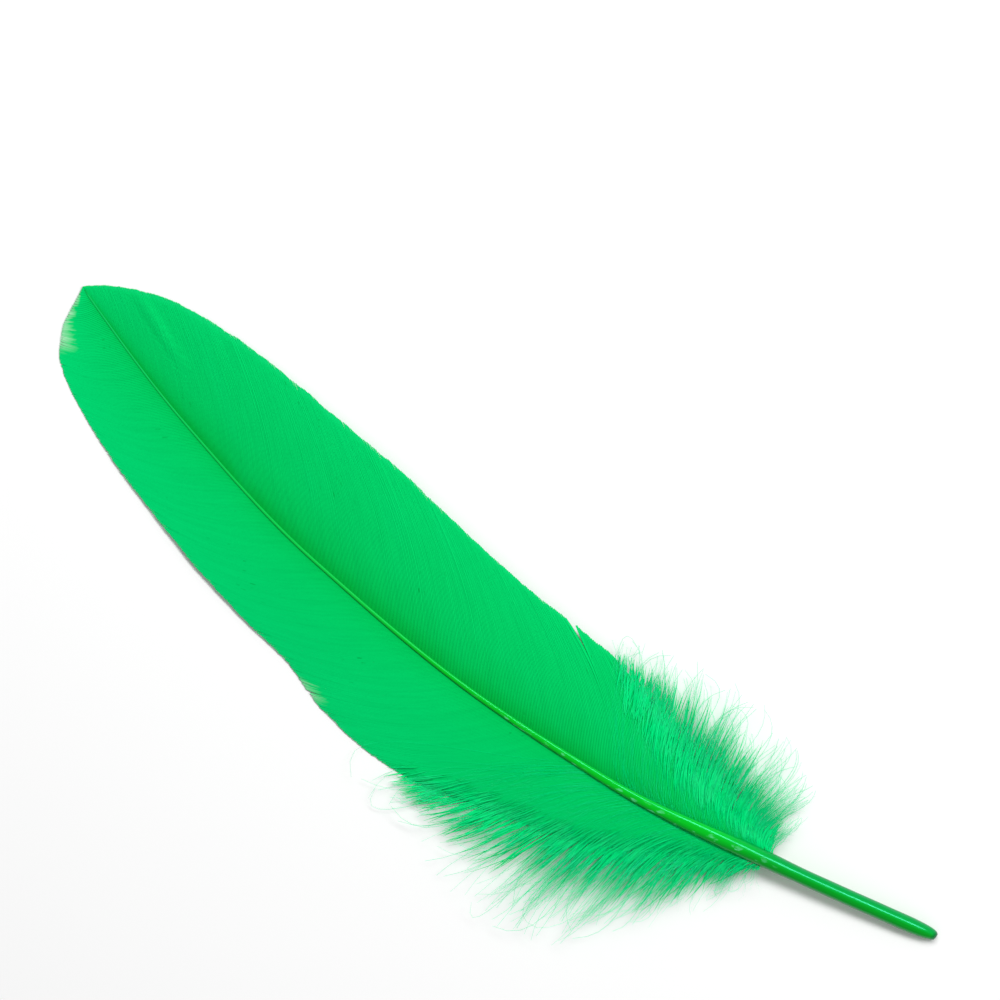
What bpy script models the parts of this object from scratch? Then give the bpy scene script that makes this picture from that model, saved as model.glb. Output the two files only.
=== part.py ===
"""Goose wing feather, cut loose and lying upper side up on a flat surface.

Metres, +Z up. The shaft runs along X, its quill end at +X and its tip at -X. A station is the
distance along X from close to the quill end towards the tip. The inner vane is on the +Y side of the
shaft and the outer vane on the -Y side, as on a feather from a left wing.
"""

import bmesh
import bpy
from mathutils import Vector

# ---- driving dimensions ----
SHAFT_LENGTH = 0.222
QUILL_OVERHANG = 0.0007  # how far the blunt end stands past station 0
VANE_THICKNESS = 0.0006
CLEARANCE = 0.0003  # gap kept between neighbouring pieces
LIE_FLAT = 0.00032  # height of a vane's middle surface where it lies on the table

# Each table holds (station, value) pairs that a smooth curve runs through.
SHAFT_SWEEP = (
    (0.000, -0.0004), (0.036, -0.0085), (0.074, -0.0157), (0.112, -0.0179),
    (0.150, -0.0159), (0.189, -0.0093), (0.222, 0.0000), (0.230, 0.0030),
)
SHAFT_HEIGHT = (
    (-0.0007, 0.0010), (0.001, 0.00146), (0.003, 0.0017), (0.010, 0.0024), (0.040, 0.0044),
    (0.080, 0.0062), (0.118, 0.0068), (0.155, 0.0056), (0.190, 0.0030), (0.222, 0.0006), (0.230, 0.0004),
)
SHAFT_RADIUS = (
    (-0.0007, 0.00090), (0.001, 0.00136), (0.003, 0.00157), (0.007, 0.00173), (0.028, 0.00171),
    (0.040, 0.00186), (0.047, 0.00174), (0.055, 0.00146), (0.064, 0.00116), (0.080, 0.00085),
    (0.112, 0.00056), (0.150, 0.00036), (0.222, 0.00020), (0.230, 0.00020),
)
OUTER_VANE_WIDTH = (
    (0.0385, 0.0024), (0.052, 0.0065), (0.072, 0.0145), (0.092, 0.0190), (0.106, 0.0224),
    (0.118, 0.0232), (0.130, 0.0224), (0.143, 0.0196), (0.165, 0.0187), (0.190, 0.0174),
    (0.208, 0.0158), (0.217, 0.0136), (0.2215, 0.0084), (0.2232, 0.0012),
)
INNER_VANE_WIDTH = (
    (0.0385, 0.0024), (0.050, 0.0065), (0.064, 0.0125), (0.078, 0.0195), (0.092, 0.0232),
    (0.118, 0.0246), (0.148, 0.0260), (0.170, 0.0241), (0.190, 0.0204), (0.205, 0.0150),
    (0.214, 0.0092), (0.220, 0.0038), (0.2232, 0.0012),
)
OUTER_EDGE_HEIGHT = (
    (0.0385, 0.0040), (0.056, 0.0026), (0.078, 0.0014), (0.100, LIE_FLAT), (0.132, LIE_FLAT),
    (0.165, 0.0012), (0.195, 0.0006), (0.214, LIE_FLAT), (0.2232, LIE_FLAT),
)
INNER_EDGE_HEIGHT = (
    (0.0385, 0.0040), (0.056, 0.0030), (0.080, 0.0021), (0.118, 0.0026), (0.155, 0.0024),
    (0.190, 0.0009), (0.210, LIE_FLAT), (0.2232, LIE_FLAT),
)
OUTER_DOWN_REACH = (
    (0.0362, 0.0080), (0.0420, 0.0155), (0.0515, 0.0215), (0.0600, 0.0290), (0.0680, 0.0338),
    (0.0790, 0.0310), (0.0900, 0.0285), (0.1020, 0.0262), (0.1100, 0.0246),
)
INNER_DOWN_REACH = (
    (0.0362, 0.0080), (0.0400, 0.0165), (0.0480, 0.0220), (0.0560, 0.0240), (0.0680, 0.0262),
    (0.0800, 0.0258), (0.0900, 0.0250),
)
DOWN_HEIGHT_AT_VANE = 0.0030
DOWN_HEIGHT_AT_TIPS = 0.0012
VANE_DROOP_POWER = 1.7  # how late a vane bends down on its way out to its edge

SHAFT_POINTS = 45
QUILL_CROWDING = 1.15  # above 1, the shaft's points stand closer together at its rounded quill end
SHAFT_SIDES_LEVEL = 4  # the curve's bevel resolution, which gives twelve sides
VANE_ROWS = 64
TIP_CROWDING = 1.5  # above 1, a vane's rows stand closer together towards its tip
VANE_COLUMNS = 7
DOWN_ROWS = 24
DOWN_COLUMNS = 5


def smooth(table, station):
    """Value at a station, on a curve through the table's points that never overshoots them."""
    xs = [x for x, _ in table]
    ys = [y for _, y in table]
    if station <= xs[0]:
        return ys[0]
    if station >= xs[-1]:
        return ys[-1]
    slopes = [(ys[i + 1] - ys[i]) / (xs[i + 1] - xs[i]) for i in range(len(xs) - 1)]
    tangents = [slopes[0]]
    for before, after in zip(slopes, slopes[1:]):
        same_way = before * after > 0
        tangents.append(2 * before * after / (before + after) if same_way else 0.0)
    tangents.append(slopes[-1])
    i = max(k for k in range(len(xs) - 1) if xs[k] <= station)
    step = xs[i + 1] - xs[i]
    t = (station - xs[i]) / step
    start, end = ys[i] + t * (ys[i + 1] - ys[i]), (1 - t) * t * step
    lean = (1 - t) * (tangents[i] - slopes[i]) - t * (tangents[i + 1] - slopes[i])
    return start + end * lean


def shaft_centre(station):
    return Vector((-station, smooth(SHAFT_SWEEP, station), smooth(SHAFT_HEIGHT, station)))


def share_along(table, share):
    """Station at a share of the way from the table's first point to its last."""
    return table[0][0] + share * (table[-1][0] - table[0][0])


def vane_point(widths, heights, side, station, out):
    """Point on a vane's middle surface, out from 0 at the shaft to 1 at the vane's edge."""
    centre = shaft_centre(station)
    root = smooth(SHAFT_RADIUS, station) + CLEARANCE
    across = root + out * (smooth(widths, station) - root)
    drop = (centre.z - smooth(heights, station)) * out**VANE_DROOP_POWER
    return Vector((centre.x, centre.y + side * across, centre.z - drop))


def down_point(vane_widths, reach, side, station, out):
    """Point on a down tuft's top, out from 0 beside the vane to 1 at the tips."""
    centre = shaft_centre(station)
    near = max(smooth(vane_widths, station), vane_widths[0][1]) + CLEARANCE
    across = near + out * (smooth(reach, station) - near)
    height = DOWN_HEIGHT_AT_VANE + out * (DOWN_HEIGHT_AT_TIPS - DOWN_HEIGHT_AT_VANE)
    return Vector((centre.x, centre.y + side * across, height))


def material(name, colour, roughness):
    made = bpy.data.materials.new(name)
    made.use_nodes = True
    shader = made.node_tree.nodes["Principled BSDF"]
    shader.inputs["Base Color"].default_value = (*colour, 1.0)
    shader.inputs["Roughness"].default_value = roughness
    shader.inputs["Metallic"].default_value = 0.0
    return made


def grid(rows, columns, place):
    """A sheet of faces whose corners stand at place(share along, share out)."""
    sheet = bmesh.new()
    half = 0.5
    bmesh.ops.create_grid(sheet, x_segments=rows, y_segments=columns, size=half)
    for vertex in sheet.verts:
        vertex.co = place(vertex.co.x + half, vertex.co.y + half)
    return sheet


def add(name, data, look, collection, origin):
    made = bpy.data.objects.new(name, data)
    data.materials.append(look)
    collection.objects.link(made)
    made.parent = origin
    return made


def finish_mesh(sheet, name):
    """The sheet as mesh data whose faces point up, or outwards once it is closed."""
    bmesh.ops.recalc_face_normals(sheet, faces=sheet.faces)
    data = bpy.data.meshes.new(name)
    sheet.to_mesh(data)
    sheet.free()
    data.shade_smooth()
    return data


def make_shaft(look, collection, origin):
    """Quill and rachis in one: a round tube that thins towards both ends."""
    data = bpy.data.curves.new("quill_shaft", "CURVE")
    data.dimensions = "3D"
    data.bevel_depth = 1.0
    data.bevel_resolution = SHAFT_SIDES_LEVEL
    data.use_fill_caps = True
    line = data.splines.new("POLY")
    line.points.add(SHAFT_POINTS - 1)
    for i, point in enumerate(line.points):
        share = i / (SHAFT_POINTS - 1)
        station = (SHAFT_LENGTH + QUILL_OVERHANG) * share**QUILL_CROWDING - QUILL_OVERHANG
        point.co = (*shaft_centre(station), 1.0)
        point.radius = smooth(SHAFT_RADIUS, station)
    return add("quill_shaft", data, look, collection, origin)


def make_vane(name, widths, heights, side, look, collection, origin):
    def place(along, out):
        station = share_along(widths, 1 - (1 - along) ** TIP_CROWDING)
        return vane_point(widths, heights, side, station, out)

    made = add(name, finish_mesh(grid(VANE_ROWS, VANE_COLUMNS, place), name),
               look, collection, origin)
    shell = made.modifiers.new("thickness", "SOLIDIFY")
    shell.thickness = VANE_THICKNESS
    shell.offset = 0.0
    shell.use_even_offset = False
    return made


def make_down(name, vane_widths, reach, side, look, collection, origin):
    """A tuft of down as one soft pad, pressed flat underneath where it lies on the table."""
    def place(along, out):
        return down_point(vane_widths, reach, side, share_along(reach, along), out)

    pad = grid(DOWN_ROWS, DOWN_COLUMNS, place)
    lower = bmesh.ops.extrude_face_region(pad, geom=pad.faces[:])["geom"]
    for vertex in lower:
        if isinstance(vertex, bmesh.types.BMVert):
            vertex.co.z = 0.0
    return add(name, finish_mesh(pad, name), look, collection, origin)


def stand_on_origin(origin, parts):
    """Moves the feather so that the middle of its box's underside is the world's origin."""
    bpy.context.view_layer.update()
    graph = bpy.context.evaluated_depsgraph_get()
    corners = []
    for part in parts:
        seen = part.evaluated_get(graph)
        mesh = seen.to_mesh()
        corners += [seen.matrix_world @ vertex.co for vertex in mesh.vertices]
        seen.to_mesh_clear()
    low = Vector(min(c[i] for c in corners) for i in range(3))
    high = Vector(max(c[i] for c in corners) for i in range(3))
    origin.location = (-(low.x + high.x) / 2, -(low.y + high.y) / 2, -low.z)


def main():
    for old in list(bpy.data.objects):
        bpy.data.objects.remove(old)
    collection = bpy.data.collections.new("goose_feather")
    bpy.context.scene.collection.children.link(collection)
    origin = bpy.data.objects.new("feather_origin", None)
    collection.objects.link(origin)

    horn = material("green horn", (0.01, 0.36, 0.03), 0.3)
    barbs = material("green barbs", (0.0, 0.58, 0.13), 0.6)
    down = material("green down", (0.02, 0.62, 0.2), 0.9)

    parts = [
        make_shaft(horn, collection, origin),
        make_vane("vane_outer", OUTER_VANE_WIDTH, OUTER_EDGE_HEIGHT, -1, barbs, collection, origin),
        make_vane("vane_inner", INNER_VANE_WIDTH, INNER_EDGE_HEIGHT, 1, barbs, collection, origin),
        make_down("down_outer", OUTER_VANE_WIDTH, OUTER_DOWN_REACH, -1, down, collection, origin),
        make_down("down_inner", INNER_VANE_WIDTH, INNER_DOWN_REACH, 1, down, collection, origin),
    ]
    stand_on_origin(origin, parts)


main()
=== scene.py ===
import math

import bpy
import numpy as np
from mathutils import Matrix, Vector


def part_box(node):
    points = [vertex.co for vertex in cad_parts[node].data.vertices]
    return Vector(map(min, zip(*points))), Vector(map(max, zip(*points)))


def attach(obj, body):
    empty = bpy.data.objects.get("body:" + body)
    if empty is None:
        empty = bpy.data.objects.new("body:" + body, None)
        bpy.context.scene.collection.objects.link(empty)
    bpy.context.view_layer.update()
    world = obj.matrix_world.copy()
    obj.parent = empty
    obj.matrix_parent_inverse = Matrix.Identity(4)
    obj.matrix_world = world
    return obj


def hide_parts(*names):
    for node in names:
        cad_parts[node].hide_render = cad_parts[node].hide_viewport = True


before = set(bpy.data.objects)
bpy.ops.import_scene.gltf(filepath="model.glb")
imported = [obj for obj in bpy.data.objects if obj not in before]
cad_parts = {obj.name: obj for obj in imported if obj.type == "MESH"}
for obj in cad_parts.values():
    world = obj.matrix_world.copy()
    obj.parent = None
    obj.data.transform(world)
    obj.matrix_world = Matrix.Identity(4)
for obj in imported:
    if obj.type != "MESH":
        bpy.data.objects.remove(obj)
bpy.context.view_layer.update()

# The feather's plan, in metres, as (station, value) pairs. A station is the distance from the quill's end
# towards the tip. Widths are measured across, from the middle of the shaft.
plan = {
    "sweep": [(0, -0.0004), (0.036, -0.0085), (0.074, -0.0157), (0.112, -0.0179),
              (0.150, -0.0159), (0.189, -0.0093), (0.222, 0.0000), (0.230, 0.0030)],
    "height": [(-0.0007, 0.0010), (0.001, 0.00146), (0.003, 0.0017), (0.010, 0.0024), (0.040, 0.0044),
               (0.080, 0.0062), (0.118, 0.0068), (0.155, 0.0056), (0.190, 0.0030), (0.222, 0.0006),
               (0.230, 0.0004)],
    "radius": [(-0.0007, 0.00090), (0.001, 0.00136), (0.003, 0.00157), (0.007, 0.00173),
               (0.028, 0.00171), (0.040, 0.00186), (0.047, 0.00174), (0.055, 0.00146),
               (0.064, 0.00116), (0.080, 0.00085), (0.112, 0.00056), (0.150, 0.00036),
               (0.222, 0.00020), (0.230, 0.00020)],
    "overhang": 0.0007,  # how far the quill's blunt end stands past station 0
}

outerVane = {
    "side": -1,
    "width": [(0.0385, 0.0024), (0.052, 0.0065), (0.072, 0.0145), (0.092, 0.0190), (0.106, 0.0224),
              (0.118, 0.0232), (0.130, 0.0224), (0.143, 0.0196), (0.165, 0.0187), (0.190, 0.0174),
              (0.208, 0.0158), (0.217, 0.0136), (0.2215, 0.0084), (0.2231, 0.0003)],
    "edge": [(0.0385, 0.0040), (0.056, 0.0026), (0.078, 0.0014), (0.100, 0.00032), (0.132, 0.00032),
             (0.165, 0.0012), (0.195, 0.0006), (0.214, 0.00032), (0.2231, 0.00032)],
    # (where a barb leaves the shaft, where it lands on the vane's edge)
    "landing": [(0.040, 0.0480), (0.052, 0.0690), (0.080, 0.1080), (0.110, 0.1405), (0.150, 0.1800),
                (0.190, 0.2090), (0.210, 0.2200), (0.2222, 0.2231)],
    "barbs": 470,
    # partings at the edge: (the barb they follow, how far they open, how many metres of barbs lean aside)
    "splits": [(0.0725, 0.0004, 0.0020), (0.1045, 0.0005, 0.0025)],
    # worn, pale stretches of the edge: (first barb, last barb, where along the barb they start, strength)
    "frays": [(0.2055, 0.2262, 0.78, 1.0), (0.1010, 0.1085, 0.93, 0.7)],
    "folds": [(0.0890, 0.0185, 0.1060, 0.0205, 0.0004)],
    "seed": 11,
}

innerVane = {
    "side": 1,
    "width": [(0.0385, 0.0024), (0.050, 0.0065), (0.064, 0.0125), (0.078, 0.0195), (0.092, 0.0232),
              (0.118, 0.0246), (0.148, 0.0260), (0.170, 0.0241), (0.190, 0.0204), (0.205, 0.0150),
              (0.214, 0.0092), (0.220, 0.0038), (0.2231, 0.0003)],
    "edge": [(0.0385, 0.0040), (0.056, 0.0030), (0.080, 0.0021), (0.118, 0.0026), (0.155, 0.0024),
             (0.190, 0.0009), (0.210, 0.00032), (0.2231, 0.00032)],
    "landing": [(0.040, 0.0475), (0.052, 0.0700), (0.080, 0.1100), (0.110, 0.1440), (0.150, 0.1835),
                (0.190, 0.2120), (0.210, 0.2200), (0.2222, 0.2231)],
    "barbs": 470,
    "splits": [(0.0720, 0.0012, 0.0030), (0.0565, 0.0007, 0.0022)],
    "frays": [(0.0480, 0.0600, 0.92, 0.5)],
    "folds": [(0.1985, 0.0076, 0.2120, 0.0085, 0.00035)],
    "seed": 23,
}

barbShape = {
    "samples": 23,  # points along each barb
    "sampleCrowding": 0.9,  # below 1, those points stand closer together towards the vane's edge
    "rootCrowding": 0.97,  # below 1, the barbs stand closer together towards the feather's tip
    "rootInside": 0.55,  # how far out from the shaft's middle a barb starts, in shaft radii
    "straight": 0.62,  # this share of a barb's way along the shaft is even
    "bent": 0.38,  # and this share comes late, as it bends towards the tip
    "overlap": 1.8,  # a barb's width in barb spacings
    "widest": 0.0007,  # past this a gap opens, as where the vane is split
    "narrowest": 0.00006,
    "taper": [(0, 0.85), (0.05, 1), (0.95, 1), (1, 0.6)],  # (how far out, share of the width)
    "crown": 0.04,  # the rib's height in barb widths
    "tilt": math.radians(2.4),  # each barb lies over the next like a roof tile
    "droop": 1.7,  # how late a vane bends down on its way out to its edge
    "overshoot": 1.1,  # how far out the droop goes on, in vane widths
    "leastWidth": 1e-5,  # these two keep divisions safe
    "leastSpacing": 1e-9,
    "lowest": 0.00022,
    "ripple": 0.00007,
    # low waves: (length along the shaft, lean outwards, how the seed shifts them, strength)
    "waves": [(0.0093, 2.1, 1, 1.0), (0.0038, -3.0, 2, 0.45)],
    "foldEnds": 0.004,  # how far past its ends a fold fades out
    "foldWidth": 0.0012,
    "splitPower": 7,  # how late a parting opens on the way out
    "ragged": 0.00016,  # how uneven the vane's edge is, over several barbs
    "raggedSpan": 9,  # how many barbs those are
    "fringe": 0.00004,  # how uneven it is from one barb to the next
    "frayFade": 0.25,  # a fray fades in and out over this share of its length
    "frayUneven": 0.4,  # how much it differs from barb to barb where a fray starts
    "frayWeakest": 0.5,
    "frayNarrows": 0.45,  # how much narrower a frayed barb is
    "toneSeed": 1,
}


def curveAt(points, station):
    # smooth curve through the points that never overshoots them
    xs = np.array([p[0] for p in points])
    ys = np.array([p[1] for p in points])
    station = np.clip(np.asarray(station, float), xs[0], xs[-1])
    slopes = np.diff(ys) / np.diff(xs)
    both = slopes[:-1] * slopes[1:]
    total = slopes[:-1] + slopes[1:]
    middle = np.where(both > 0, 2 * both / np.where(total == 0, 1, total), 0.0)
    tangents = np.concatenate([slopes[:1], middle, slopes[-1:]])
    i = np.clip(np.searchsorted(xs, station, side="right") - 1, 0, len(xs) - 2)
    step = xs[i + 1] - xs[i]
    t = (station - xs[i]) / step
    lean = (1 - t) * (tangents[i] - slopes[i]) - t * (tangents[i + 1] - slopes[i])
    return ys[i] + t * (ys[i + 1] - ys[i]) + (1 - t) * t * step * lean

def linear(points, at):
    # straight lines through the (place, value) points
    return np.interp(at, *zip(*points))


def planOrigin():
    # where station 0 lies in the frame, found from the middle of the quill's blunt end
    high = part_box("quill_shaft")[1]
    ring = [v.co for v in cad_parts["quill_shaft"].data.vertices if v.co.x > high.x - 0.0006]
    middle = [(min(p[i] for p in ring) + max(p[i] for p in ring)) / 2 for i in range(2)]
    return middle[0] - plan["overhang"], middle[1] - plan["sweep"][0][1]


startX, shiftY = planOrigin()


def place(side, station, across, z):
    # a point of the plan in the frame
    y = shiftY + curveAt(plan["sweep"], station) + side * across
    return np.stack(np.broadcast_arrays(startX - station, y, z), axis=-1)


def ripples(vane, station, out):
    # low waves that keep a vane from looking pressed
    total = 0
    for length, lean, shift, strength in barbShape["waves"]:
        total = total + strength * np.sin(station / length + lean * out + shift * vane["seed"])
    return barbShape["ripple"] * out * total


def vaneHeight(vane, station, across):
    # a vane's height there: at the shaft the shaft's own, and from there down to its edge
    inner = curveAt(plan["radius"], station)
    width = curveAt(vane["width"], station)
    room = np.maximum(width - inner, barbShape["leastWidth"])
    out = np.clip((across - inner) / room, 0, barbShape["overshoot"])
    centre = curveAt(plan["height"], station)
    z = centre - (centre - curveAt(vane["edge"], station)) * out ** barbShape["droop"]
    z = z + ripples(vane, station, out)
    ends = barbShape["foldEnds"]
    for fromStation, fromAcross, toStation, toAcross, rise in vane["folds"]:
        along = np.clip((station - fromStation) / (toStation - fromStation), 0, 1)
        line = fromAcross + along * (toAcross - fromAcross)
        run = (station - fromStation + ends) / (toStation - fromStation + 2 * ends)
        fade = np.sin(np.pi * np.clip(run, 0, 1))
        z = z + rise * fade * np.exp(-((across - line) / barbShape["foldWidth"]) ** 2)
    return np.maximum(z, barbShape["lowest"])


def vaneGuides(vane):
    # every barb's middle line as an array of points, with its direction across and its width
    rng = np.random.default_rng(vane["seed"])
    count = vane["barbs"]
    samples = barbShape["samples"]
    share = np.linspace(0, 1, count)
    first, last = vane["landing"][0][0], vane["landing"][-1][0]
    roots = first + (last - first) * share ** barbShape["rootCrowding"]
    lands = curveAt(vane["landing"], roots)
    span = barbShape["raggedSpan"]
    bumps = rng.normal(0, 1, count + span - 1)
    ragged = np.convolve(bumps, np.ones(span) / span, "valid") * barbShape["ragged"]
    fringe = rng.normal(0, barbShape["fringe"], count)
    f = np.linspace(0, 1, samples) ** barbShape["sampleCrowding"]
    swing = barbShape["straight"] * f + barbShape["bent"] * f ** 3
    station = roots[:, None] + (lands - roots)[:, None] * swing[None, :]
    for at, opening, reach in vane["splits"]:
        away = roots - at
        push = np.sign(away) * opening * np.exp(-np.abs(away) / reach)
        station = station + push[:, None] * (f ** barbShape["splitPower"])[None, :]
    pale = np.zeros((count, samples))
    uneven = barbShape["frayUneven"]
    for fromRoot, toRoot, fromOut, strength in vane["frays"]:
        fade = barbShape["frayFade"] * (toRoot - fromRoot)
        inside = np.clip(np.minimum(roots - fromRoot, toRoot - roots) / fade, 0, 1)
        begins = fromOut + rng.uniform(-uneven, uneven, (count, 1)) * (1 - fromOut)
        worn = np.clip((f[None, :] - begins) / (1 - begins), 0, 1)
        weight = rng.uniform(barbShape["frayWeakest"], 1, (count, 1))
        pale += strength * inside[:, None] * worn * weight
    station = np.minimum(station, vane["width"][-1][0])
    start = barbShape["rootInside"] * curveAt(plan["radius"], roots)
    edge = curveAt(vane["width"], lands)
    reach = edge + ragged + fringe
    across = start[:, None] + (reach - start)[:, None] * f[None, :]
    points = place(vane["side"], station, across, vaneHeight(vane, station, across))
    tangent = np.gradient(points, axis=1)
    tangent /= np.linalg.norm(tangent, axis=2, keepdims=True)
    toNext = np.gradient(points, axis=0)
    toNext -= (toNext * tangent).sum(2, keepdims=True) * tangent
    spacing = np.linalg.norm(toNext, axis=2)
    across3 = toNext / np.maximum(spacing, barbShape["leastSpacing"])[..., None]
    normal = np.cross(tangent, across3)
    normal *= np.sign(normal[..., 2:3])
    tilt = barbShape["tilt"]
    across3 = math.cos(tilt) * across3 + math.sin(tilt) * normal
    width = np.minimum(spacing * barbShape["overlap"], barbShape["widest"])
    width *= linear(barbShape["taper"], f)[None, :]
    frayed = 1 - barbShape["frayNarrows"] * np.clip(pale, 0, 1)
    width = np.maximum(width * frayed, barbShape["narrowest"])
    return points, across3, width, roots, f, pale


def polylines(name, points):
    # a mesh of open chains, one for each row of points
    rows, samples, _ = points.shape
    mesh = bpy.data.meshes.new(name)
    ids = np.arange(rows * samples).reshape(rows, samples)
    edges = np.stack([ids[:, :-1].ravel(), ids[:, 1:].ravel()], axis=1)
    mesh.from_pydata(points.reshape(-1, 3).tolist(), edges.tolist(), [])
    return mesh


def setAttribute(mesh, name, values, kind="FLOAT"):
    layer = mesh.attributes.new(name, kind, "POINT")
    field = "vector" if kind == "FLOAT_VECTOR" else "value"
    layer.data.foreach_set(field, np.asarray(values, np.float32).ravel())


def newTree(name, inputs):
    tree = bpy.data.node_groups.new(name, "GeometryNodeTree")
    face = tree.interface
    face.new_socket("Geometry", in_out="INPUT", socket_type="NodeSocketGeometry")
    for label, kind, value in inputs:
        socket = face.new_socket(label, in_out="INPUT", socket_type="NodeSocket" + kind)
        if value is not None:
            socket.default_value = value
    face.new_socket("Geometry", in_out="OUTPUT", socket_type="NodeSocketGeometry")
    return tree, tree.nodes.new("NodeGroupInput"), tree.nodes.new("NodeGroupOutput")


def node(tree, kind, inputs=None, **settings):
    made = tree.nodes.new(kind)
    for key, value in settings.items():
        setattr(made, key, value)
    for key, value in (inputs or {}).items():
        if isinstance(value, bpy.types.NodeSocket):
            tree.links.new(value, made.inputs[key])
        else:
            made.inputs[key].default_value = value
    return made


def named(tree, name, kind="FLOAT"):
    return node(tree, "GeometryNodeInputNamedAttribute", {"Name": name}, data_type=kind).outputs[0]


def maths(tree, operation, a, b=0.0, c=0.0):
    return node(tree, "ShaderNodeMath", {0: a, 1: b, 2: c}, operation=operation).outputs[0]


def times(tree, a, b):
    return maths(tree, "MULTIPLY", a, b)


def finishTree(tree, start, end, geometry):
    smooth = node(tree, "GeometryNodeSetShadeSmooth", {"Geometry": geometry}).outputs[0]
    real = node(tree, "GeometryNodeRealizeInstances", {"Geometry": smooth}).outputs[0]
    done = node(tree, "GeometryNodeSetMaterial", {
        "Geometry": real, "Material": start.outputs["Material"]}).outputs[0]
    tree.links.new(done, end.inputs[0])


def linked(name, data):
    # a new object in the scene
    made = bpy.data.objects.new(name, data)
    bpy.context.scene.collection.objects.link(made)
    return made


def shapedBy(name, mesh, tree, values):
    # runs the tree on the mesh and keeps the result as a plain mesh object
    holder = linked(name + "Guides", mesh)
    modifier = holder.modifiers.new("nodes", "NODES")
    modifier.node_group = tree
    for item in tree.interface.items_tree:
        if item.in_out == "INPUT" and item.name in values:
            modifier[item.identifier] = values[item.name]
    bpy.context.view_layer.update()
    graph = bpy.context.evaluated_depsgraph_get()
    result = bpy.data.meshes.new_from_object(holder.evaluated_get(graph))
    result.name = name
    holder.modifiers.remove(modifier)
    bpy.data.objects.remove(holder)
    bpy.data.meshes.remove(mesh)
    return linked(name, result)


def barbTree():
    # sweeps a flat ribbed profile along each guide
    tree, start, end = newTree("vaneBarbs", [
        ("Crown", "Float", barbShape["crown"]),
        ("Material", "Material", None),
    ])
    curve = node(tree, "GeometryNodeMeshToCurve", {"Mesh": start.outputs["Geometry"]}).outputs[0]
    curve = node(tree, "GeometryNodeSetCurveNormal", {"Curve": curve}, mode="FREE")
    tree.links.new(named(tree, "barbAcross", "FLOAT_VECTOR"), curve.inputs["Normal"])
    ring = node(tree, "GeometryNodeCurvePrimitiveCircle", {"Resolution": 6, "Radius": 0.5}).outputs[0]
    position = node(tree, "GeometryNodeInputPosition").outputs[0]
    parts = node(tree, "ShaderNodeSeparateXYZ", {0: position})
    height = times(tree, parts.outputs["Y"], start.outputs["Crown"])
    flat = node(tree, "ShaderNodeCombineXYZ", {"X": parts.outputs["X"], "Y": height}).outputs[0]
    ring = node(tree, "GeometryNodeSetPosition", {"Geometry": ring, "Position": flat}).outputs[0]
    swept = node(tree, "GeometryNodeCurveToMesh", {
        "Curve": curve.outputs[0], "Profile Curve": ring,
        "Scale": named(tree, "barbWidth"), "Fill Caps": True}).outputs[0]
    finishTree(tree, start, end, swept)
    return tree


def makeVane(name, cadNode, vane, tree, material):
    points, across, width, roots, f, pale = vaneGuides(vane)
    rng = np.random.default_rng(vane["seed"] + barbShape["toneSeed"])
    mesh = polylines(name, points)
    rows, samples, _ = points.shape
    setAttribute(mesh, "barbAcross", across, "FLOAT_VECTOR")
    setAttribute(mesh, "barbWidth", width)
    setAttribute(mesh, "barbRoot", np.repeat(roots, samples))
    along = np.linalg.norm(np.diff(points, axis=1), axis=2).cumsum(1)
    along = np.concatenate([np.zeros((rows, 1)), along], axis=1)
    setAttribute(mesh, "barbLength", along)
    setAttribute(mesh, "barbOut", np.broadcast_to(f, (rows, samples)))
    setAttribute(mesh, "barbTone", np.repeat(rng.uniform(0, 1, rows), samples))
    setAttribute(mesh, "barbPale", pale)
    made = shapedBy(name, mesh, tree, {"Crown": barbShape["crown"], "Material": material})
    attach(made, "root")
    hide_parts(cadNode)
    print(name, len(made.data.polygons), "faces")


outerDown = {
    "side": -1,
    # (where a barb leaves the shaft, where its tip lies along the shaft, how far across its tip lies)
    "fan": [(0.0365, 0.0375, 0.0085), (0.0400, 0.0420, 0.0150), (0.0440, 0.0485, 0.0195),
            (0.0480, 0.0555, 0.0240), (0.0530, 0.0635, 0.0315), (0.0600, 0.0745, 0.0335),
            (0.0680, 0.0890, 0.0300), (0.0760, 0.1030, 0.0268), (0.0820, 0.1100, 0.0252)],
    # how far across the down stays closed, along the shaft. Past this it is loose wisps.
    "close": [(0.0385, 0.0030), (0.0404, 0.0048), (0.0442, 0.0095), (0.0492, 0.0145), (0.0576, 0.0166),
              (0.0653, 0.0190), (0.0729, 0.0208), (0.0824, 0.0224), (0.0904, 0.0243), (0.1011, 0.0240),
              (0.1100, 0.0236)],
    "tufts": 70,
    "barbsInTuft": 4,
    "softBarbs": 600,
    "inside": 0.0048,  # how far inside the vane's edge the first soft barbs rise out of it
    # how full it is, by where a barb leaves the shaft
    "thin": [(0.0365, 0.12), (0.0415, 0.30), (0.0470, 1.0)],
    "seed": 41,
}

innerDown = {
    "side": 1,
    "fan": [(0.0365, 0.0360, 0.0120), (0.0385, 0.0385, 0.0172), (0.0410, 0.0440, 0.0215),
            (0.0450, 0.0520, 0.0232), (0.0500, 0.0620, 0.0270), (0.0560, 0.0705, 0.0266),
            (0.0620, 0.0775, 0.0252), (0.0700, 0.0860, 0.0242)],
    "close": [(0.0365, 0.0035), (0.0405, 0.0085), (0.0477, 0.0130), (0.0588, 0.0176), (0.0656, 0.0188),
              (0.0756, 0.0206), (0.0842, 0.0216), (0.0920, 0.0234)],
    "tufts": 62,
    "barbsInTuft": 4,
    "softBarbs": 560,
    "inside": 0.0070,
    "thin": [(0.0365, 0.60), (0.0420, 1.0)],
    "seed": 57,
}

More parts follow.
